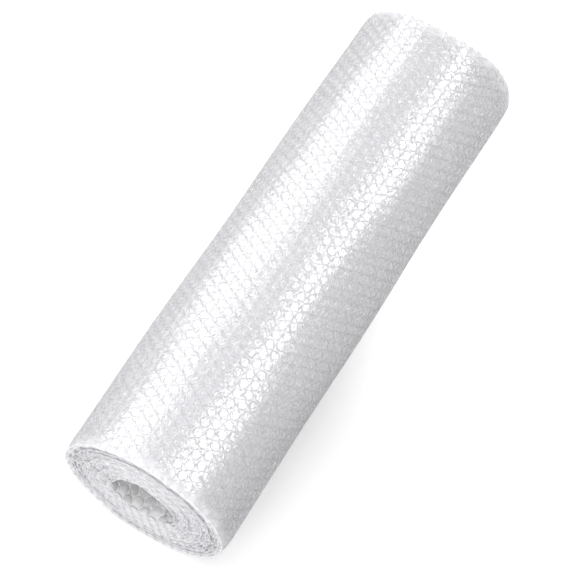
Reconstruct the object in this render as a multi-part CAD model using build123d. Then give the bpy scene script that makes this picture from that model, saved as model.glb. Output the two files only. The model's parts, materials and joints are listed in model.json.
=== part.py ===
"""A roll of bubble wrap, lying on its side on a small flat spot.

One sheet of clear bubble film, flat side out, is wound without a core. The first turn lies round in a
circle, where the winding bar was. Each turn ends by climbing over the one below it, always in the same
sector, so the section is made of round arcs joined by short ramps. The sheet ends where the last climb
would begin: its cut edge is a step in the outside, and the turn below rises from there to the full radius.

The roll's axis is along X, and +Z is up. The origin is on the floor, under the middle of the roll.
Angles are measured about the axis from +Y towards +Z. Lengths are in millimetres.
"""

from build123d import *
import math
import os

# The sheet, as wound
SHEET_WIDTH = 500.0  # cut width, which is the roll's length
SHEET_THICKNESS = 3.9  # from the flat film to the tops of the bubbles
TURN_GAP = 0.4  # air between a turn and the one over it

# The winding
BORE_RADIUS = 27.0  # the winding bar's radius
LAYERS = 12  # layers between the bore and the outside
CLIMB_END = 0.0  # degrees: where the sheet's inner edge lies, and each climb is over
CLIMB_SECTOR = 60.0  # degrees that each climb takes
CLIMB_POINTS = 9  # points that define one climb's curve

# The flat spot on which the soft roll rests
FLAT_SPOT_WIDTH = 30.0

TURN_PITCH = SHEET_THICKNESS + TURN_GAP
ROUND_SECTOR = 360.0 - CLIMB_SECTOR
OUTER_RADIUS = BORE_RADIUS + (LAYERS - 1) * TURN_PITCH + SHEET_THICKNESS
AXIS_HEIGHT = math.sqrt(OUTER_RADIUS**2 - (FLAT_SPOT_WIDTH / 2) ** 2)


def polar(radius, angle):
    """The point of the section at this radius and angle in degrees, about the roll's axis."""
    turn = math.radians(angle)
    return (radius * math.cos(turn), radius * math.sin(turn))


def across(angle):
    """The direction in which a circle about the axis runs at this angle."""
    return polar(1.0, angle + 90.0)


def climb(radius):
    """The curve on which a face of the sheet leaves this radius and rises by one turn's pitch."""
    start = CLIMB_END + ROUND_SECTOR
    points = []
    for i in range(CLIMB_POINTS):
        share = i / (CLIMB_POINTS - 1)
        rise = TURN_PITCH * share**2 * (3.0 - 2.0 * share)
        points.append(polar(radius + rise, start + CLIMB_SECTOR * share))
    ends = (across(start), across(start + CLIMB_SECTOR))
    return Spline(*points, tangents=ends)


def sheet_face(first_radius):
    """One face of the sheet from its inner edge to its outer edge, as the section's curves."""
    curves = []
    for layer in range(LAYERS):
        radius = first_radius + layer * TURN_PITCH
        curves.append(CenterArc((0, 0), radius, CLIMB_END, ROUND_SECTOR))
        if layer < LAYERS - 1:
            curves.append(climb(radius))
    return curves


def cut_edge(inner_radius, angle):
    """The sheet's cut edge, square across its thickness."""
    return Line(polar(inner_radius, angle), polar(inner_radius + SHEET_THICKNESS, angle))


def wound_section():
    """The section of the whole wound sheet, as one face about the axis."""
    last_inner_radius = OUTER_RADIUS - SHEET_THICKNESS
    outline = sheet_face(BORE_RADIUS)
    outline.append(cut_edge(last_inner_radius, CLIMB_END + ROUND_SECTOR))
    outline += sheet_face(BORE_RADIUS + SHEET_THICKNESS)
    outline.append(cut_edge(BORE_RADIUS, CLIMB_END))
    return make_face(outline)


def bubble_wrap_roll():
    """The wound sheet, lying at its height, with the flat spot pressed into its lowest turn."""
    across_the_roll = Plane(origin=(-SHEET_WIDTH / 2, 0, AXIS_HEIGHT), x_dir=(0, 1, 0), z_dir=(1, 0, 0))
    roll = extrude(across_the_roll * wound_section(), amount=SHEET_WIDTH)
    under_the_floor = Pos(0, 0, -OUTER_RADIUS) * Box(2 * SHEET_WIDTH, 2 * OUTER_RADIUS, 2 * OUTER_RADIUS)
    return roll - under_the_floor


os.makedirs("parts", exist_ok=True)
export_step(bubble_wrap_roll(), "parts/bubble_wrap_roll.step")
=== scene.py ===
# The looks of a roll of clear bubble film. The sheet is two films: a flat one, which faces outward on the
# roll, and one with a dome under every bubble, welded to the flat one between the domes.
#
# A place on the sheet is (s, x): s runs along the sheet from its inner end, and x runs along the roll.
# Lengths are in metres, angles in radians about the roll's axis from +Y towards +Z.

import json
import math

import bpy
import numpy as np
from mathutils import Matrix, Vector


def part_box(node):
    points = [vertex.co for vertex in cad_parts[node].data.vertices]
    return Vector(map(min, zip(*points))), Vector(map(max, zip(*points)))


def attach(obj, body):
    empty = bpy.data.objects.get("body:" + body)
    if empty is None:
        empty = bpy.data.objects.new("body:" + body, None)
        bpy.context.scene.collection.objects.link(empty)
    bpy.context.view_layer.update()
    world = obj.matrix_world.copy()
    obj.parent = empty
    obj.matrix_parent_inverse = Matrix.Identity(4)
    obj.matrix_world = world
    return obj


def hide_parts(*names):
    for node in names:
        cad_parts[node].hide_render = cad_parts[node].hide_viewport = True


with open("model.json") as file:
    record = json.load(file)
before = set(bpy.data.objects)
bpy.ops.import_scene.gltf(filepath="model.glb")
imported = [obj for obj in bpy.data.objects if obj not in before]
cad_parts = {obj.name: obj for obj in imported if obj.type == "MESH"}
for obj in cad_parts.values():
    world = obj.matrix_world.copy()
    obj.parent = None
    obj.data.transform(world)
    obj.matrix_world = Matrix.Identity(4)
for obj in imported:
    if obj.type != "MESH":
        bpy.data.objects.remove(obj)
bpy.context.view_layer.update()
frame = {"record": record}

# ---- The roll, from the frame ----
NODE = "bubble_wrap_roll"
roll_low, roll_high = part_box(NODE)
bore = next(m for m in frame["record"]["mounts"] if m["name"] == "core_bore")
LENGTH = roll_high.x - roll_low.x
OUTER_RADIUS = roll_high.y
AXIS_HEIGHT = bore["pos_m"][2]
BORE_RADIUS = bore["dims"]["r_mm"] / 1000

# ---- The winding, as in the part ----
LAYERS = 12
SHEET_THICKNESS = 0.0039
CLIMB_SECTOR = math.radians(60)
TURN = 2 * math.pi
TURN_PITCH = (OUTER_RADIUS - BORE_RADIUS - SHEET_THICKNESS) / (LAYERS - 1)
SHEET_END = LAYERS * TURN - CLIMB_SECTOR  # the angle wound from the inner end to the outer end
PATH_POINTS = 40001  # for working out the distance along the sheet from the angle wound


def smooth(share):
    """A smooth step from 0 to 1."""
    share = np.clip(share, 0, 1)
    return share**2 * (3 - 2 * share)


def flat_radius(wound):
    """The flat film's radius at an angle wound from the sheet's inner end."""
    turns = np.floor(wound / TURN)
    climbed = (wound - turns * TURN - (TURN - CLIMB_SECTOR)) / CLIMB_SECTOR
    return BORE_RADIUS + SHEET_THICKNESS + (turns + smooth(climbed)) * TURN_PITCH


ANGLES = np.linspace(0, SHEET_END, PATH_POINTS)
STEPS = np.diff(ANGLES) * flat_radius((ANGLES[1:] + ANGLES[:-1]) / 2)
DISTANCES = np.concatenate([[0], np.cumsum(STEPS)])
SHEET_LENGTH = DISTANCES[-1]
WHOLE_SHEET = (0.0, SHEET_LENGTH)


def wound_at(s):
    return np.interp(s, DISTANCES, ANGLES)


def distance_at(wound):
    return np.interp(wound, ANGLES, DISTANCES)


def length_to(turns_left):
    """The distance along the sheet at which this many turns are left to its outer end."""
    return float(distance_at(SHEET_END - turns_left * TURN))


def turns_outside(wound):
    """How many turns lie outside this one."""
    return np.maximum(SHEET_END - wound, 0) / TURN


# ---- The bubbles' places ----
PITCH = 0.0104  # between bubbles of a row, along the roll
ROW_SPACING = PITCH * math.sqrt(3) / 2  # between rows, so that the bubbles lie in a hexagonal pattern
FIRST_ROW = 0.5  # from the sheet's inner end to the first row, in spacings
FIRST_COLUMN = 0.25  # from the sheet's edge to the first bubble of an even row, in pitches
BUBBLE_RADIUS = 0.0049
COLUMNS = int(LENGTH / PITCH) + 2
ROWS = int(SHEET_LENGTH / ROW_SPACING) + 2


def centre_of(row, column):
    """A bubble's centre on the sheet. Odd rows are moved along by half a pitch."""
    s = (row + FIRST_ROW) * ROW_SPACING
    x = (column + FIRST_COLUMN + 0.5 * (row % 2)) * PITCH - LENGTH / 2
    return s, x


def cells(first_row, last_row, columns=None):
    """Row and column numbers of the bubbles from first_row to before last_row."""
    columns = np.arange(-1, COLUMNS) if columns is None else columns
    rows, columns = np.meshgrid(np.arange(first_row, last_row), columns, indexing="ij")
    return rows.ravel(), columns.ravel()


# ---- The sheet's path round the roll ----
UNEVEN_ROUND = (2, 3, 5, 7, 9, 12, 15)  # how many waves of each kind go round the roll
UNEVEN_ALONG = 30  # the most that a wave twists along the roll, in radians to a metre
UNEVEN_HEIGHT = 0.00030  # of a wave that goes round once

END_DROP = 0.0026  # how far the outermost film bends inward at the roll's near end
END_DROP_FAR = 0.4  # the share of that at the far end
END_DROP_LENGTH = 0.013
END_DROP_TURNS = 1.6  # the turns over which it dies away inward

# Waves at the roll's ends: (waves in a turn, share of the end's phase, height). Those with a whole number
# are the same on every turn, and the others change from turn to turn.
END_WAVES = ((5, 1, 0.0006), (9, 2, 0.0005), (13.3, 3, 0.00035), (23.7, 1, 0.0003))
END_WAVES_LENGTH = 2 * END_DROP_LENGTH
END_WAVES_PHASE = 1.7  # of the far end, where the near end's is 0

EDGE_WAVES = ((0.37, 2, 0.0007), (2.3, 5, 0.0004))  # of the slit edges, sideways
EDGE_SET_BACK = 0.0004
EDGE_PHASES = (1.0, 0.4)  # of the far end and the near end
EDGE_WANDER_LENGTH = LENGTH / 4
FAR_REACH = 0.0125  # how much further out the far edge lies at the roll's sides than on its top
FAR_TOP = math.radians(88)
FAR_REACH_ANGLE = math.radians(85)  # from the top to where the far edge lies furthest out

FACET = 0.00011  # the film is a little flat over each row of bubbles and bends between the rows
FLOOR_GAP = 0.0002  # the film stays this far above the floor
SQUASHED = 0.05  # the share of a bubble's height that is left where the floor presses on it


def unevenness():
    """Waves (turns round, twist along, phase, height) that make the soft roll a little uneven."""
    random = np.random.default_rng(11)
    waves = []
    for round_count in UNEVEN_ROUND:
        for along in random.uniform(-UNEVEN_ALONG, UNEVEN_ALONG, 3):
            waves.append((round_count, along, random.uniform(0, TURN), UNEVEN_HEIGHT / round_count**0.5))
    return waves


UNEVEN_WAVES = unevenness()


def uneven(angle, x):
    return sum(h * np.sin(n * angle + k * x + p) for n, k, p, h in UNEVEN_WAVES)


def towards_end(x, length):
    """0 over the roll's middle, rising over this length to 1 at the ends."""
    return np.clip((np.abs(x) - (LENGTH / 2 - length)) / length, 0, 1)


def rippled(wound, phase, waves):
    return sum(height * np.sin(count * wound + share * phase) for count, share, height in waves)


def end_drop(wound, x):
    """How far the film bends in near the roll's ends, where the bubbles are cut and let their air out."""
    most = np.where(x > 0, END_DROP_FAR, 1.0) * END_DROP
    return most * towards_end(x, END_DROP_LENGTH)**2 * np.exp(-turns_outside(wound) / END_DROP_TURNS)


def end_waves(wound, x):
    """The turns wave in and out at the roll's ends, each a little unlike its neighbours."""
    waves = rippled(wound, np.where(x > 0, END_WAVES_PHASE, 0.0), END_WAVES)
    inner = 1 - np.exp(-turns_outside(wound))
    return waves * inner * towards_end(x, END_WAVES_LENGTH)**2


def edge_wander(wound, x):
    """How far the sheet's slit edges wander sideways from turn to turn."""
    wander = rippled(wound, np.where(x > 0, *EDGE_PHASES), EDGE_WAVES) - EDGE_SET_BACK
    from_top = np.abs((wound - FAR_TOP + math.pi) % TURN - math.pi)
    reach = np.where(x > 0, FAR_REACH * smooth(from_top / FAR_REACH_ANGLE), 0)
    near_end = towards_end(x, EDGE_WANDER_LENGTH)
    return (wander * near_end**2 + reach * near_end) * np.sign(x)


def facet(s):
    """The film over the middle of a row lies nearer to the axis than between the rows."""
    across = (s / ROW_SPACING) % 1 - 0.5
    return FACET * (1 - 4 * across**2)


def on_roll(s, x, lift):
    """Points of the roll for places on the sheet. lift is the distance outward from the flat film."""
    wound = wound_at(s)
    radius = flat_radius(wound) + uneven(wound, x) - end_drop(wound, x) + end_waves(wound, x)
    radius = radius - facet(s) + lift
    y = radius * np.cos(wound)
    z = np.maximum(AXIS_HEIGHT + radius * np.sin(wound), FLOOR_GAP - SQUASHED * np.minimum(lift, 0))
    return np.stack([x + edge_wander(wound, x), y, z], axis=1)


# ---- Every bubble's own form, by its row and column ----
random = np.random.default_rng(3)
COUNT = (ROWS, COLUMNS)
bubble_radius = BUBBLE_RADIUS * random.uniform(0.96, 1.02, COUNT)
bubble_puff = 0.00004 + 0.00014 * random.random(COUNT) ** 2  # how far the flat film bulges over it
bubble_depth = random.uniform(0.9, 1.0, COUNT)  # share of the sheet's thickness that it fills
bubble_dimple = random.uniform(-0.05, 0.10, COUNT)  # how far its top is pressed in, as a share of its depth
bubble_tilt_s = random.normal(0, 0.014, COUNT)  # slope of the flat film over it
bubble_tilt_x = random.normal(0, 0.014, COUNT)
bubble_oval = random.uniform(0.0, 0.025, COUNT)  # how much it is out of round, with two and with three lobes
bubble_lobes = random.uniform(0.0, 0.03, COUNT)
bubble_turn = random.uniform(0, TURN, COUNT)
MEAN_OUTLINE = 0.985  # an uneven outline's mean radius, as a share of the bubble's radius


def outline(row, column, angles):
    """Each bubble's radius by angle, as it isn't quite round."""
    turn = bubble_turn[row, column][:, None]
    oval = bubble_oval[row, column][:, None] * np.cos(2 * angles - turn)
    lobes = bubble_lobes[row, column][:, None] * np.cos(3 * angles - 2 * turn)
    return bubble_radius[row, column][:, None] * (MEAN_OUTLINE + oval + lobes)


# ---- Meshes ----
EDGE_TOLERANCE = 1e-9
SMALLEST_FACE = 1e-10  # twice the area on the sheet of a face that is too small to keep
MERGE_SCALE = 1e6  # points that round to the same millionth of a metre are one


def kept_inside(s, x, faces, s_range, flat):
    """Cuts the sheet straight at its edges. Faces that are wholly past an edge go."""
    s = np.clip(s, *s_range)
    x = np.clip(x, -LENGTH / 2, LENGTH / 2)
    at_edge = np.abs(x) >= LENGTH / 2 - EDGE_TOLERANCE
    at_end = (s <= s_range[0] + EDGE_TOLERANCE) | (s >= s_range[1] - EDGE_TOLERANCE)
    gone = at_edge[faces].all(axis=1) | at_end[faces].all(axis=1)
    if flat:
        a, b, c = (np.stack([s[faces[:, i]], x[faces[:, i]]], axis=1) for i in range(3))
        area = np.abs((b - a)[:, 0] * (c - a)[:, 1] - (b - a)[:, 1] * (c - a)[:, 0])
        gone |= area < SMALLEST_FACE
    return s, x, faces[~gone]


def merged(s, x, lift, faces):
    """Joins the points that neighbouring cells share."""
    keys = np.round(np.stack([s, x], axis=1) * MERGE_SCALE).astype(np.int64)
    _, first, numbers = np.unique(keys, axis=0, return_index=True, return_inverse=True)
    return s[first], x[first], lift[first], numbers.reshape(-1)[faces]


def around(sides):
    """The numbers of a ring's points, and of the point after each."""
    here = np.arange(sides)
    return here, (here + 1) % sides


def between_rings(first, second, sides):
    """Triangles between two rings of points, from the numbers of their first points."""
    here, after = around(sides)
    return [
        np.stack([first + here, first + after, second + after], axis=1),
        np.stack([first + here, second + after, second + here], axis=1),
    ]


def repeated(pattern, points_each, count):
    """The faces of many bubbles, from the faces of the first one."""
    pattern = np.concatenate(pattern)
    return (pattern[None] + points_each * np.arange(count)[:, None, None]).reshape(-1, 3)


def grid_faces(length, width):
    """Triangles between the points of a grid, numbered across its width and then along its length."""
    i, j = (v.ravel() for v in np.meshgrid(np.arange(length - 1), np.arange(width - 1), indexing="ij"))
    a = i * width + j
    return np.concatenate([
        np.stack([a, a + width, a + width + 1], axis=1),
        np.stack([a, a + width + 1, a + 1], axis=1),
    ])


def triangle_mesh(name, points, faces):
    mesh = bpy.data.meshes.new(name)
    mesh.vertices.add(len(points))
    mesh.vertices.foreach_set("co", points.astype(np.float32).ravel())
    mesh.loops.add(3 * len(faces))
    mesh.loops.foreach_set("vertex_index", faces.astype(np.int32).ravel())
    mesh.polygons.add(len(faces))
    mesh.polygons.foreach_set("loop_start", np.arange(0, 3 * len(faces), 3, dtype=np.int32))
    mesh.update(calc_edges=True)
    mesh.shade_smooth()
    return mesh


def make_piece(name, points, faces, sheet, material):
    """A piece of the roll, with its points' places on the sheet as an attribute and as its bake map."""
    used, numbers = np.unique(faces.ravel(), return_inverse=True)
    points, sheet = points[used], sheet[used]
    faces = numbers.reshape(-1, 3)
    mesh = triangle_mesh(name, points, faces)
    low, high = sheet.min(axis=0), sheet.max(axis=0)
    places = mesh.uv_layers.new(name="OFBake")
    places.data.foreach_set("uv", ((sheet - low) / (high - low))[faces.ravel()].astype(np.float32).ravel())
    attribute = mesh.attributes.new("sheet", "FLOAT_VECTOR", "POINT")
    attribute.data.foreach_set("vector", np.column_stack([sheet, 0 * sheet[:, 0]]).astype(np.float32).ravel())
    mesh.materials.append(material)
    piece = bpy.data.objects.new(name, mesh)
    bpy.context.scene.collection.objects.link(piece)
    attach(piece, "root")
    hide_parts(NODE)
    return piece


# ---- The flat film over whole bubbles ----
HEXAGON_POINTS = 12  # a cell's border has its six corners and the middles of its six sides
FILM_RINGS = (0.6, 1.0)  # rings of points over a bubble, as shares of its radius
WELD_RING = (1.0,)  # for the second turn, which shows less
GROOVE = 0.00005  # depth of the weld's groove round each bubble


def cell_points(rows, columns, rings):
    """The points of each cell: the bubble's middle, the rings round it and the hexagon's border."""
    column = columns % COLUMNS
    s0, x0 = (v[:, None] for v in centre_of(rows, columns))
    puff = bubble_puff[rows, column]
    tilt_s, tilt_x = bubble_tilt_s[rows, column], bubble_tilt_x[rows, column]
    angles = np.arange(HEXAGON_POINTS) * TURN / HEXAGON_POINTS
    radius = outline(rows, column, angles)
    border = np.where(np.arange(HEXAGON_POINTS) % 2, PITCH / math.sqrt(3), PITCH / 2)
    s, x, lift = [s0], [x0], [puff[:, None]]
    for share in rings:
        ds = radius * share * np.sin(angles)
        dx = radius * share * np.cos(angles)
        s.append(s0 + ds)
        x.append(x0 + dx)
        bulge = (puff * (1 - share**2))[:, None] + tilt_s[:, None] * ds + tilt_x[:, None] * dx
        lift.append(bulge if share < 1 else np.full_like(ds, -GROOVE))
    s.append(s0 + border * np.sin(angles))
    x.append(x0 + border * np.cos(angles))
    lift.append(np.zeros((len(rows), HEXAGON_POINTS)))
    return (np.concatenate(v, axis=1) for v in (s, x, lift))


def film_cells(name, first_row, last_row, material, rings=FILM_RINGS):
    """The flat film over whole bubbles: it bulges over each, with a groove at the weld round it."""
    rows, columns = cells(first_row, last_row)
    s, x, lift = cell_points(rows, columns, rings)
    here, after = around(HEXAGON_POINTS)
    pattern = [np.stack([0 * here, 1 + after, 1 + here], axis=1)]
    for ring in range(len(rings)):
        inner = 1 + ring * HEXAGON_POINTS
        pattern += between_rings(inner, inner + HEXAGON_POINTS, HEXAGON_POINTS)
    faces = repeated(pattern, s.shape[1], len(rows))
    s, x, lift, faces = merged(s.ravel(), x.ravel(), lift.ravel(), faces)
    s, x, faces = kept_inside(s, x, faces, WHOLE_SHEET, flat=True)
    return make_piece(name, on_roll(s, x, lift), faces, np.stack([s, x], axis=1), material)


# ---- The bubbles ----
# A bubble from its weld to the middle of its top, as (share of its radius, share of its depth)
DOME_FINE = ((1.0, 0.0), (0.975, 0.5), (0.87, 0.86), (0.5, 1.0))
DOME_PLAIN = ((1.0, 0.0), (0.95, 0.7), (0.62, 1.0))
DOME_PRESSED = ((1.0, 0.0), (0.85, 0.10), (0.5, 0.16))
TURN_CLEARANCE = 0.00025  # between a bubble's top and the film of the turn inside it
RING_SHAKE = 0.0175  # how uneven each ring of points is, more so towards the top, as a share of its radius
RING_SAG = 0.05  # how uneven its depth is, as a share
CENTRE_SHAKE = 0.1  # how far the middle of the top is off centre, as a share of the bubble's radius
OVERHANG = 0.6  # how far past the sheet's edge the middle of a cut bubble may be, as a share of its radius


def bubbles_inside(first_row, last_row, columns):
    """The row, column and centre of each bubble that lies on the sheet or is cut by its edge."""
    rows, columns = cells(first_row, last_row, columns)
    s0, x0 = centre_of(rows, columns)
    inside = np.abs(x0) < LENGTH / 2 + OVERHANG * BUBBLE_RADIUS
    return rows[inside], (columns % COLUMNS)[inside], s0[inside], x0[inside]


def bubble_height(row, column, s0, x0):
    """How deep each bubble stands inward, up to the room that the next turn leaves it."""
    wound = wound_at(s0)
    room = TURN_PITCH - end_drop(wound, x0) + end_drop(wound - TURN, x0) - TURN_CLEARANCE
    return np.minimum(SHEET_THICKNESS * bubble_depth[row, column], room)


def dome_points(row, column, s0, x0, profile, sides, seed):
    """The points of each bubble, from the ring at its weld to the middle of its top."""
    shake = np.random.default_rng(seed)
    count = len(row)
    depth = bubble_height(row, column, s0, x0)[:, None]
    angles = np.arange(sides) * TURN / sides
    radius = outline(row, column, angles)
    s, x, lift = [], [], []
    for ring, (share, deep) in enumerate(profile):
        reach = radius * share * (1 + RING_SHAKE * ring * shake.normal(0, 1, (count, sides)))
        s.append(s0[:, None] + reach * np.sin(angles))
        x.append(x0[:, None] + reach * np.cos(angles))
        sag = 1 - RING_SAG * min(ring, 2) * shake.random((count, sides))
        lift.append(-GROOVE * (1 - deep) - depth * deep * sag)
    s.append(s0[:, None] + CENTRE_SHAKE * BUBBLE_RADIUS * shake.normal(0, 1, (count, 1)))
    x.append(x0[:, None] + CENTRE_SHAKE * BUBBLE_RADIUS * shake.normal(0, 1, (count, 1)))
    top = profile[-1][1]
    lift.append(-depth * top * (1 - bubble_dimple[row, column][:, None]))
    return (np.concatenate(v, axis=1) for v in (s, x, lift))


def domes(name, first_row, last_row, material, profile, sides, seed, columns=None):
    """The bubbles of the formed film, which stand inward from the flat film."""
    row, column, s0, x0 = bubbles_inside(first_row, last_row, columns)
    s, x, lift = dome_points(row, column, s0, x0, profile, sides, seed)
    pattern = []
    for ring in range(len(profile) - 1):
        pattern += between_rings(ring * sides, (ring + 1) * sides, sides)
    here, after = around(sides)
    last = (len(profile) - 1) * sides
    pattern.append(np.stack([last + here, last + after, 0 * here + last + sides], axis=1))
    faces = repeated(pattern, s.shape[1], len(row))
    s, x, faces = kept_inside(s.ravel(), x.ravel(), faces, WHOLE_SHEET, flat=False)
    return make_piece(name, on_roll(s, x, lift.ravel()), faces, np.stack([s, x], axis=1), material)


# ---- The film of the inner turns, and the slit edges ----
PLAIN_STEP = math.radians(3)
PLAIN_FROM_END = (0, 0.003, 0.006, 0.009, 0.013, 0.03, 0.07, 0.15)  # points across it, from each end
EDGE_STEP = math.radians(2)
EDGE_BEAD = 0.00055  # half the thickness of the slit edge, where the films are crushed together
RIM_BEAD = 0.0005  # how much more it is on the outermost turn
RIM_TURNS = 0.5  # the turns over which that dies away inward
EDGE_SECTION = np.array([(0, 1), (1, 0.5), (1, -0.5), (0, -1)])  # (outward, lift) of the bead, in beads


def places_along(s_range, step):
    """Places along the sheet, evenly spaced by the angle wound, about a step apart."""
    first, last = wound_at(s_range[0]), wound_at(s_range[1])
    return distance_at(np.linspace(first, last, int((last - first) / step)))


def plain_film(name, s_range, material):
    """The flat film of the inner turns, without the bulge over each bubble."""
    along = places_along(s_range, PLAIN_STEP)
    across = LENGTH / 2 - np.array(PLAIN_FROM_END)
    across = np.concatenate([-across, [0], across[::-1]])
    s, x = (v.ravel() for v in np.meshgrid(along, across, indexing="ij"))
    faces = grid_faces(len(along), len(across))
    return make_piece(name, on_roll(s, x, 0 * s), faces, np.stack([s, x], axis=1), material)


def cut_edge(name, x_end, material):
    """The slit edge of the sheet at one end of the roll: a thin rounded bead along the whole spiral."""
    along = places_along(WHOLE_SHEET, EDGE_STEP)
    s = np.repeat(along, len(EDGE_SECTION))
    bead = EDGE_BEAD + RIM_BEAD * np.exp(-turns_outside(wound_at(s)) / RIM_TURNS)
    outward, lift = (bead * np.tile(part, len(along)) for part in EDGE_SECTION.T)
    points = on_roll(s, np.full_like(s, x_end), lift)
    points[:, 0] += math.copysign(1, x_end) * outward
    faces = grid_faces(len(along), len(EDGE_SECTION))
    return make_piece(name, points, faces, np.stack([s, lift], axis=1), material)


# ---- Materials ----
class Nodes:
    """A short way to write the nodes of a material or a world."""

    def __init__(self, owner):
        owner.use_nodes = True
        self.tree = owner.node_tree
        self.tree.nodes.clear()

    def node(self, kind, settings=None, **inputs):
        """A node. An input is named with _ for a space, or i and its number."""
        made = self.tree.nodes.new(kind)
        for key, value in (settings or {}).items():
            setattr(made, key, value)
        for key, value in inputs.items():
            slot = int(key[1:]) if key[0] == "i" and key[1:].isdigit() else key.replace("_", " ")
            if isinstance(value, bpy.types.NodeSocket):
                self.tree.links.new(value, made.inputs[slot])
            else:
                made.inputs[slot].default_value = value
        return made

    def maths(self, operation, *values, clamp=False):
        inputs = {f"i{k}": v for k, v in enumerate(values)}
        return self.node("ShaderNodeMath", {"operation": operation, "use_clamp": clamp}, **inputs).outputs[0]

    def vector(self, operation, *values):
        inputs = {f"i{k}": v for k, v in enumerate(values)}
        return self.node("ShaderNodeVectorMath", {"operation": operation}, **inputs).outputs

    def part(self, vector, axis):
        return self.node("ShaderNodeSeparateXYZ", Vector=vector).outputs[axis]

    def grey(self, level):
        return self.node("ShaderNodeCombineXYZ", X=level, Y=level, Z=level).outputs[0]

    def noise(self, place, scale, detail=1.0, roughness=0.5):
        return self.node("ShaderNodeTexNoise", Vector=place, Scale=scale, Detail=detail,
                         Roughness=roughness).outputs

    def step(self, value, low, high, at_low=0.0, at_high=1.0):
        """A smooth step from at_low, where the value is low, to at_high."""
        return self.node("ShaderNodeMapRange", {"interpolation_type": "SMOOTHSTEP"}, Value=value,
                         From_Min=low, From_Max=high, To_Min=at_low, To_Max=at_high).outputs[0]

    def band(self, value, centre, width):
        """1 where the value is at the centre, falling to 0 a width away."""
        off = self.maths("ABSOLUTE", self.maths("SUBTRACT", value, centre))
        return self.maths("SUBTRACT", 1.0, self.maths("DIVIDE", off, width), clamp=True)

    def less(self, mark, share):
        """1, and less by this share where the mark is."""
        return self.maths("SUBTRACT", 1.0, self.maths("MULTIPLY", mark, share))

    def added(self, value, marks, amounts):
        """The value, with each mark's amount added where the mark is."""
        for mark, amount in amounts:
            value = self.maths("ADD", value, self.maths("MULTIPLY", marks[mark], amount))
        return value

    def mixed(self, share, first, second):
        return self.node("ShaderNodeMixShader", i0=share, i1=first, i2=second).outputs[0]

    def seen(self):
        """1 for the camera and for what a reflection or a glass shows, 0 for light on the roll."""
        path = self.node("ShaderNodeLightPath").outputs
        mirrored_or_through = self.maths("MAXIMUM", path["Is Glossy Ray"], path["Is Transmission Ray"])
        return self.maths("MAXIMUM", path["Is Camera Ray"], mirrored_or_through)


# What marks the film, drawn by the place on the sheet
WELD_RADIUS = 0.0045  # of the ring that shows where a bubble's wall meets the flat film
WELD_WIDTH = 0.00062
WELD_NOISE = (130.0, 0.0013)  # its unevenness, as (scale, amount)
LAND_WIDTH = 0.0008  # from the ring to where the two films lie on each other
INNER_RADIUS = 0.0034  # of the fainter ring round a bubble's flat top
INNER_WIDTH = 0.00050
INNER_NOISE = (230.0, 0.0045)
ROW_LINE_WIDTH = 0.06  # of the bend between two rows, in row spacings
CREASE_SCALE = 270.0
CREASE_WIDTH = 0.13
HAZE_FROM_END = (0.012, 0.001)  # where the haze of the roll's ends starts, and where it is full

# What the marks do
WRINKLE_SCALE = (420.0, 150.0, 1.0)  # of the fine wrinkles, which are longer along the roll
WRINKLE_HEIGHT = 0.00024
CREASE_HEIGHT = 0.00008
RING_HEIGHT = -0.00022
INNER_HEIGHT = 0.00012
ROW_LINE_HEIGHT = 0.00010
MATT_MARKS = (("ring", 1.0), ("inner_ring", 0.6))  # how much of the mirroring each takes away
WELD_MARKS = (("land", 1.0), ("ring", 0.5), ("crease", 0.5), ("row_line", 0.8))  # shares of the weld's haze
END_HAZE = 0.5  # the crushed bubbles at the roll's ends are hazier
HAZE_SCALE = 170.0
RING_PAINTED_SHADE = 0.22  # how much darker the ring is painted: painted shade for the dark outline that each bubble's steep wall gives
CLEAR_TINT = (0.997, 0.996, 0.999)  # of what is seen through the film
SLANT_FROM = 0.75  # from here to 1, Layer Weight's Facing says that the film is seen edge on
SLANT_TINT = 0.75
WHITE = (1, 1, 1, 1)
FILM_COLOUR = (0.975, 0.970, 0.985, 1)


def from_bubble_centre(nodes, place):
    """The distance to the nearest bubble's centre, from the place on the sheet."""
    half = (ROW_SPACING, PITCH / 2, 1.0)
    distances = []
    for row in (0, 1):
        moved = nodes.vector("SUBTRACT", place, (*centre_of(row, 0), 0))[0]
        near = nodes.vector("WRAP", moved, half, tuple(-h for h in half))[0]
        distances.append(nodes.vector("LENGTH", near)[1])
    return nodes.maths("MINIMUM", *distances)


def shifted(nodes, place, scale, amount):
    """The place moved about by noise, so that what is drawn there isn't regular."""
    noise = nodes.noise(place, scale)["Color"]
    centred = nodes.vector("SUBTRACT", noise, (0.5, 0.5, 0.5))[0]
    move = nodes.vector("MULTIPLY", centred, (amount, amount, 0))[0]
    return nodes.vector("ADD", place, move)[0]


def film_marks(nodes, place):
    """Where each mark of the film is, from 0 to 1."""
    moved = shifted(nodes, place, *WELD_NOISE)
    outer = from_bubble_centre(nodes, moved)
    inner = from_bubble_centre(nodes, shifted(nodes, place, *INNER_NOISE))
    row = nodes.maths("FRACT", nodes.maths("DIVIDE", nodes.part(moved, 0), ROW_SPACING))
    from_row_middle = nodes.maths("ABSOLUTE", nodes.maths("SUBTRACT", row, 0.5))
    from_middle = nodes.maths("ABSOLUTE", nodes.part(place, 1))
    return {
        "ring": nodes.band(outer, WELD_RADIUS, WELD_WIDTH),
        "inner_ring": nodes.band(inner, INNER_RADIUS, INNER_WIDTH),
        "land": nodes.step(outer, WELD_RADIUS, WELD_RADIUS + LAND_WIDTH),
        "row_line": nodes.band(from_row_middle, 0.5, ROW_LINE_WIDTH),
        "crease": nodes.band(nodes.noise(place, CREASE_SCALE)["Fac"], 0.5, CREASE_WIDTH),
        "end": nodes.step(from_middle, *(LENGTH / 2 - length for length in HAZE_FROM_END)),
    }


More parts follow.
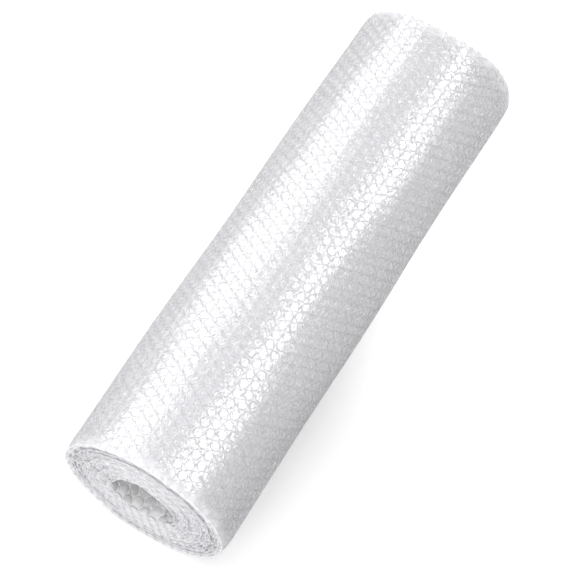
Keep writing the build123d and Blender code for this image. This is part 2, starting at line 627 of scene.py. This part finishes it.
def film_bump(nodes, place, marks, wrinkle):
    """The film's fine relief. wrinkle is how wrinkled it is."""
    grain = nodes.vector("MULTIPLY", place, WRINKLE_SCALE)[0]
    wrinkles = nodes.noise(grain, 1.0, detail=3.0, roughness=0.6)["Fac"]
    height = nodes.maths("MULTIPLY", wrinkles, WRINKLE_HEIGHT * wrinkle)
    height = nodes.added(height, marks, (
        ("ring", RING_HEIGHT),
        ("inner_ring", INNER_HEIGHT),
        ("crease", CREASE_HEIGHT * wrinkle),
        ("row_line", ROW_LINE_HEIGHT),
    ))
    return nodes.node("ShaderNodeBump", Height=height, Strength=1.0, Distance=1.0).outputs[0]


def film_mirror(nodes, marks, bump, ior, most):
    """The share of the light that the film mirrors."""
    mirrored = nodes.node("ShaderNodeFresnel", IOR=ior, Normal=bump).outputs[0]
    mirrored = nodes.maths("MINIMUM", mirrored, most)
    for mark, share in MATT_MARKS:
        mirrored = nodes.maths("MULTIPLY", mirrored, nodes.less(marks[mark], share))
    return mirrored


def film_cloud(nodes, place, marks, haze, weld):
    """How hazy the film is, from 0 to 1, with weld as the welds' own haze."""
    patches = nodes.noise(place, HAZE_SCALE, detail=3.0)["Fac"]
    cloud = nodes.maths("MULTIPLY", haze, nodes.maths("ADD", 0.5, patches))
    cloud = nodes.added(cloud, marks, [(mark, share * weld) for mark, share in WELD_MARKS])
    cloud = nodes.added(cloud, marks, [("end", END_HAZE)])
    return nodes.maths("MAXIMUM", nodes.maths("MINIMUM", cloud, 1.0), 0.0)


def film_clear(nodes):
    """What is seen through the film, which is darker where the film is seen edge on."""
    facing = nodes.node("ShaderNodeLayerWeight", Blend=0.5).outputs["Facing"]
    slanted = nodes.step(facing, SLANT_FROM, 1.0, at_low=1.0, at_high=SLANT_TINT)
    tint = nodes.vector("MULTIPLY", CLEAR_TINT, nodes.grey(slanted))[0]
    return nodes.node("ShaderNodeBsdfTransparent", Color=tint).outputs[0]


def film(name, haze, weld, wrinkle, rough, ior, through=0.3, colour=FILM_COLOUR, most=0.15):
    """Clear film: it mirrors a little, is a little hazy, more so at the weld, and lets the rest through.

    through is the share of the hazy part's light that comes out on the film's other side, and most is the
    largest share of the light that the film mirrors."""
    material = bpy.data.materials.new(name)
    nodes = Nodes(material)
    place = nodes.node("ShaderNodeAttribute", {"attribute_name": "sheet"}).outputs["Vector"]
    marks = film_marks(nodes, place)
    bump = film_bump(nodes, place, marks, wrinkle)
    mirrored = film_mirror(nodes, marks, bump, ior, most)
    cloud = film_cloud(nodes, place, marks, haze, weld)
    # Painted shade: the colour is darker on the weld ring, for the dark outline that each bubble's steep wall
    # gives by bending and mirroring the light.
    ring_painted_shade = nodes.grey(nodes.less(marks["ring"], RING_PAINTED_SHADE))
    paint = nodes.vector("MULTIPLY", colour[:3], ring_painted_shade)[0]
    front = nodes.node("ShaderNodeBsdfDiffuse", Color=paint, Normal=bump).outputs[0]
    back = nodes.node("ShaderNodeBsdfTranslucent", Color=paint, Normal=bump).outputs[0]
    body = nodes.mixed(cloud, film_clear(nodes), nodes.mixed(through, front, back))
    gloss = nodes.node("ShaderNodeBsdfGlossy", Color=WHITE, Roughness=rough, Normal=bump).outputs[0]
    nodes.node("ShaderNodeOutputMaterial", Surface=nodes.mixed(mirrored, body, gloss))
    return material


# Painted shade: the second and third turns are the same clear film as the outer one, painted greyer (0.91 and
# 0.70) for the dimmer light deeper in the roll, under the outer turns.
SECOND_LOOK = dict(through=0.2, colour=(0.91, 0.90, 0.92, 1))
THIRD_LOOK = dict(through=0.05, colour=(0.70, 0.69, 0.72, 1))
BORE_LOOK = dict(colour=(0.99, 0.985, 0.99, 1), most=0.9)

CLEAR_FILM = film("clear_flat_film", haze=0.26, weld=0.16, wrinkle=1.0, rough=0.06, ior=2.2, through=0.45)
CLEAR_DOME = film("clear_bubble_film", haze=0.26, weld=0.0, wrinkle=1.3, rough=0.12, ior=1.4)
SECOND_FILM = film("second_turn_film", haze=0.60, weld=0.16, wrinkle=1.2, rough=0.10, ior=2.0, **SECOND_LOOK)
THIRD_FILM = film("third_turn_film", haze=0.95, weld=0.05, wrinkle=1.2, rough=0.15, ior=1.6, **THIRD_LOOK)
INNER_FILM = film("inner_turns_film", haze=0.85, weld=0.10, wrinkle=1.2, rough=0.20, ior=1.4)
BORE_FILM = film("first_turn_film", haze=0.95, weld=0.05, wrinkle=0.4, rough=0.20, ior=1.3,
                 through=0.1, **BORE_LOOK)
BORE_DOME = film("bore_bubble_film", haze=0.10, weld=0.0, wrinkle=0.6, rough=0.20, ior=1.2, **BORE_LOOK)
END_DOME = film("end_bubble_film", haze=0.85, weld=0.0, wrinkle=0.6, rough=0.40, ior=1.2, through=0.5)
EDGE_FILM = film("slit_edge_film", haze=0.95, weld=0.0, wrinkle=0.6, rough=0.40, ior=1.2, through=0.5)

# ---- The pieces ----
FIRST_TURN_TO = float(distance_at(TURN))
THIRD_TURNS_FROM = length_to(4.0)
SECOND_ROW = int(length_to(2.0) / ROW_SPACING)
OUTER_ROW = int(length_to(1.0) / ROW_SPACING)
MIDDLE_ROW = (OUTER_ROW + ROWS) // 2  # where the outer turn's bubbles part into two pieces
FIRST_TURN_ROW = int(FIRST_TURN_TO / ROW_SPACING)
THIRD_TURNS_TO = (SECOND_ROW + 0.6) * ROW_SPACING  # a little past the start of the second turn's film
END_COLUMNS = np.array([-1, 0, 1, 2, COLUMNS - 4, COLUMNS - 3, COLUMNS - 2, COLUMNS - 1])

film_cells("outer_turn_film", OUTER_ROW, ROWS, CLEAR_FILM)
domes("outer_turn_bubbles_low", OUTER_ROW, MIDDLE_ROW, CLEAR_DOME, DOME_FINE, sides=16, seed=21)
domes("outer_turn_bubbles_high", MIDDLE_ROW, ROWS, CLEAR_DOME, DOME_FINE, sides=16, seed=22)
film_cells("second_turn_film", SECOND_ROW, OUTER_ROW, SECOND_FILM, rings=WELD_RING)
domes("second_turn_bubbles", SECOND_ROW, OUTER_ROW, CLEAR_DOME, DOME_PLAIN, sides=12, seed=23)
plain_film("third_turns_film", (THIRD_TURNS_FROM, THIRD_TURNS_TO), THIRD_FILM)
plain_film("inner_turns_film", (FIRST_TURN_TO, THIRD_TURNS_FROM), INNER_FILM)
plain_film("first_turn_film", (0.0, FIRST_TURN_TO), BORE_FILM)
domes("inner_turns_end_bubbles", FIRST_TURN_ROW, SECOND_ROW, END_DOME, DOME_PLAIN, sides=10, seed=24,
      columns=END_COLUMNS)
domes("bore_bubbles", 0, FIRST_TURN_ROW, BORE_DOME, DOME_PRESSED, sides=10, seed=25)
cut_edge("slit_edge_minus_x", -LENGTH / 2, EDGE_FILM)
cut_edge("slit_edge_plus_x", LENGTH / 2, EDGE_FILM)

# ---- The studio ----
FLOOR_HALF = 6.0
FLOOR_COLOUR = (0.6, 0.6, 0.6, 1)
FLOOR_GLOW = (0.49, 0.85)  # what the camera sees besides the light on it, at the roll's near and far ends
FLOOR_GLOW_ALONG = (-0.10, 0.15)
FLOOR_GLOW_ROUND = (0.42, 0.9)  # the distances over which it rises to white, clear of the roll's shadow
WORLD_LEVEL = 0.24  # of its light on the roll

LAMP_DISTANCE = 1.4
LAMP_LENGTH = 1.5
TOP_SHIFT = -0.35  # along the roll, towards the near end
GLOSS_SHIFT = 0.62  # along the roll, away from the camera, where the lamps' reflections fall
END_LAMP_SIZE = (0.8, 0.8)
END_LAMP_RISE = 0.40  # its height for each metre out


def studio_floor():
    """A pale floor, white to the camera except in the roll's shadow towards its near end, where its painted
    glow is weaker.
    """
    mesh = bpy.data.meshes.new("studio_floor")
    half = FLOOR_HALF
    corners = [(-half, -half, 0), (half, -half, 0), (half, half, 0), (-half, half, 0)]
    mesh.from_pydata(corners, [], [(0, 1, 2, 3)])
    material = bpy.data.materials.new("studio_floor")
    nodes = Nodes(material)
    paint = nodes.node("ShaderNodeBsdfDiffuse", Color=FLOOR_COLOUR).outputs[0]
    place = nodes.node("ShaderNodeNewGeometry").outputs["Position"]
    # Painted light: the glow is weaker at the roll's near end and stronger towards its far end and away from
    # the roll, so the roll's shadow shows near the near end and is washed out to white elsewhere.
    along = nodes.step(nodes.part(place, 0), *FLOOR_GLOW_ALONG, *FLOOR_GLOW)
    far = nodes.step(nodes.vector("LENGTH", place)[1], *FLOOR_GLOW_ROUND)
    level = nodes.maths("MULTIPLY", nodes.maths("MAXIMUM", along, far), nodes.seen())
    glow = nodes.node("ShaderNodeEmission", Color=WHITE, Strength=level).outputs[0]
    both = nodes.node("ShaderNodeAddShader", i0=paint, i1=glow).outputs[0]
    nodes.node("ShaderNodeOutputMaterial", Surface=both)
    mesh.materials.append(material)
    floor = bpy.data.objects.new("studio_floor", mesh)
    bpy.context.scene.collection.objects.link(floor)


def studio_world(level):
    """White where the camera or a reflection sees it. It lights the roll at a plain level."""
    world = bpy.data.worlds.new("studio")
    nodes = Nodes(world)
    strength = nodes.node("ShaderNodeMapRange", Value=nodes.seen(), To_Min=level, To_Max=1.0).outputs[0]
    background = nodes.node("ShaderNodeBackground", Color=WHITE, Strength=strength).outputs[0]
    nodes.node("ShaderNodeOutputWorld", Surface=background)
    bpy.context.scene.world = world


def beside(angle):
    """The direction to the side of the roll at an angle in degrees round its axis, from +Y up."""
    return Vector((0, math.cos(math.radians(angle)), math.sin(math.radians(angle))))


def spread(angle):
    """The size of a softbox along the roll that is this wide, in degrees, seen from the roll."""
    return LAMP_LENGTH, 2 * LAMP_DISTANCE * math.tan(math.radians(angle / 2))


def softbox(name, outward, size, radiance, shift, lights):
    """A softbox that faces the roll from the direction outward, moved along the roll by shift.

    It either lights the roll or only shows in the film's gloss."""
    data = bpy.data.lights.new(name, "AREA")
    data.shape = "RECTANGLE"
    data.size, data.size_y = size
    data.energy = radiance * math.pi * size[0] * size[1]
    lamp = bpy.data.objects.new(name, data)
    lamp.location = Vector((shift, 0, AXIS_HEIGHT)) + LAMP_DISTANCE * outward
    lamp.rotation_mode = "QUATERNION"
    lamp.rotation_quaternion = (-outward).to_track_quat("-Z", "Y")
    lamp.visible_camera = False
    lamp.visible_diffuse = lights
    lamp.visible_glossy = not lights
    bpy.context.scene.collection.objects.link(lamp)


studio_floor()
studio_world(WORLD_LEVEL)
softbox("softbox_top", beside(84), spread(60), radiance=2.1, shift=TOP_SHIFT, lights=True)
softbox("softbox_behind", beside(43), spread(44), radiance=3.7, shift=GLOSS_SHIFT, lights=False)
softbox("softbox_front", beside(131), spread(20), radiance=6.0, shift=GLOSS_SHIFT, lights=False)
for side in (-1, 1):
    outward = Vector((side, 0, END_LAMP_RISE)).normalized()
    softbox(f"softbox_end_{side}", outward, END_LAMP_SIZE, radiance=4.8, shift=0, lights=True)

# ---- The camera, level, at the photograph's angle ----
CAMERA_AZIMUTH = math.radians(-59.7)
CAMERA_ELEVATION = math.radians(60.7)
CAMERA_DISTANCE = 1.692
CAMERA_AIM = Vector((-0.0142, -0.0009, AXIS_HEIGHT))
CAMERA_LENS = 120.1
MOST_BOUNCES = 32  # the light passes many films
DIFFUSE_BOUNCES = 20
GLOSSY_BOUNCES = 12

camera_data = bpy.data.cameras.new("camera")
camera_data.lens = CAMERA_LENS
camera_data.sensor_width = 36.0
camera = bpy.data.objects.new("camera", camera_data)
backward = Vector((
    math.sin(CAMERA_AZIMUTH) * math.cos(CAMERA_ELEVATION),
    -math.cos(CAMERA_AZIMUTH) * math.cos(CAMERA_ELEVATION),
    math.sin(CAMERA_ELEVATION),
))
camera.location = CAMERA_AIM + CAMERA_DISTANCE * backward
camera.rotation_mode = "QUATERNION"
camera.rotation_quaternion = (-backward).to_track_quat("-Z", "Y")
bpy.context.scene.collection.objects.link(camera)
bpy.context.scene.camera = camera
bpy.context.scene.view_settings.view_transform = "Standard"
bpy.context.scene.cycles.transparent_max_bounces = MOST_BOUNCES
bpy.context.scene.cycles.max_bounces = MOST_BOUNCES
bpy.context.scene.cycles.diffuse_bounces = DIFFUSE_BOUNCES
bpy.context.scene.cycles.glossy_bounces = GLOSSY_BOUNCES
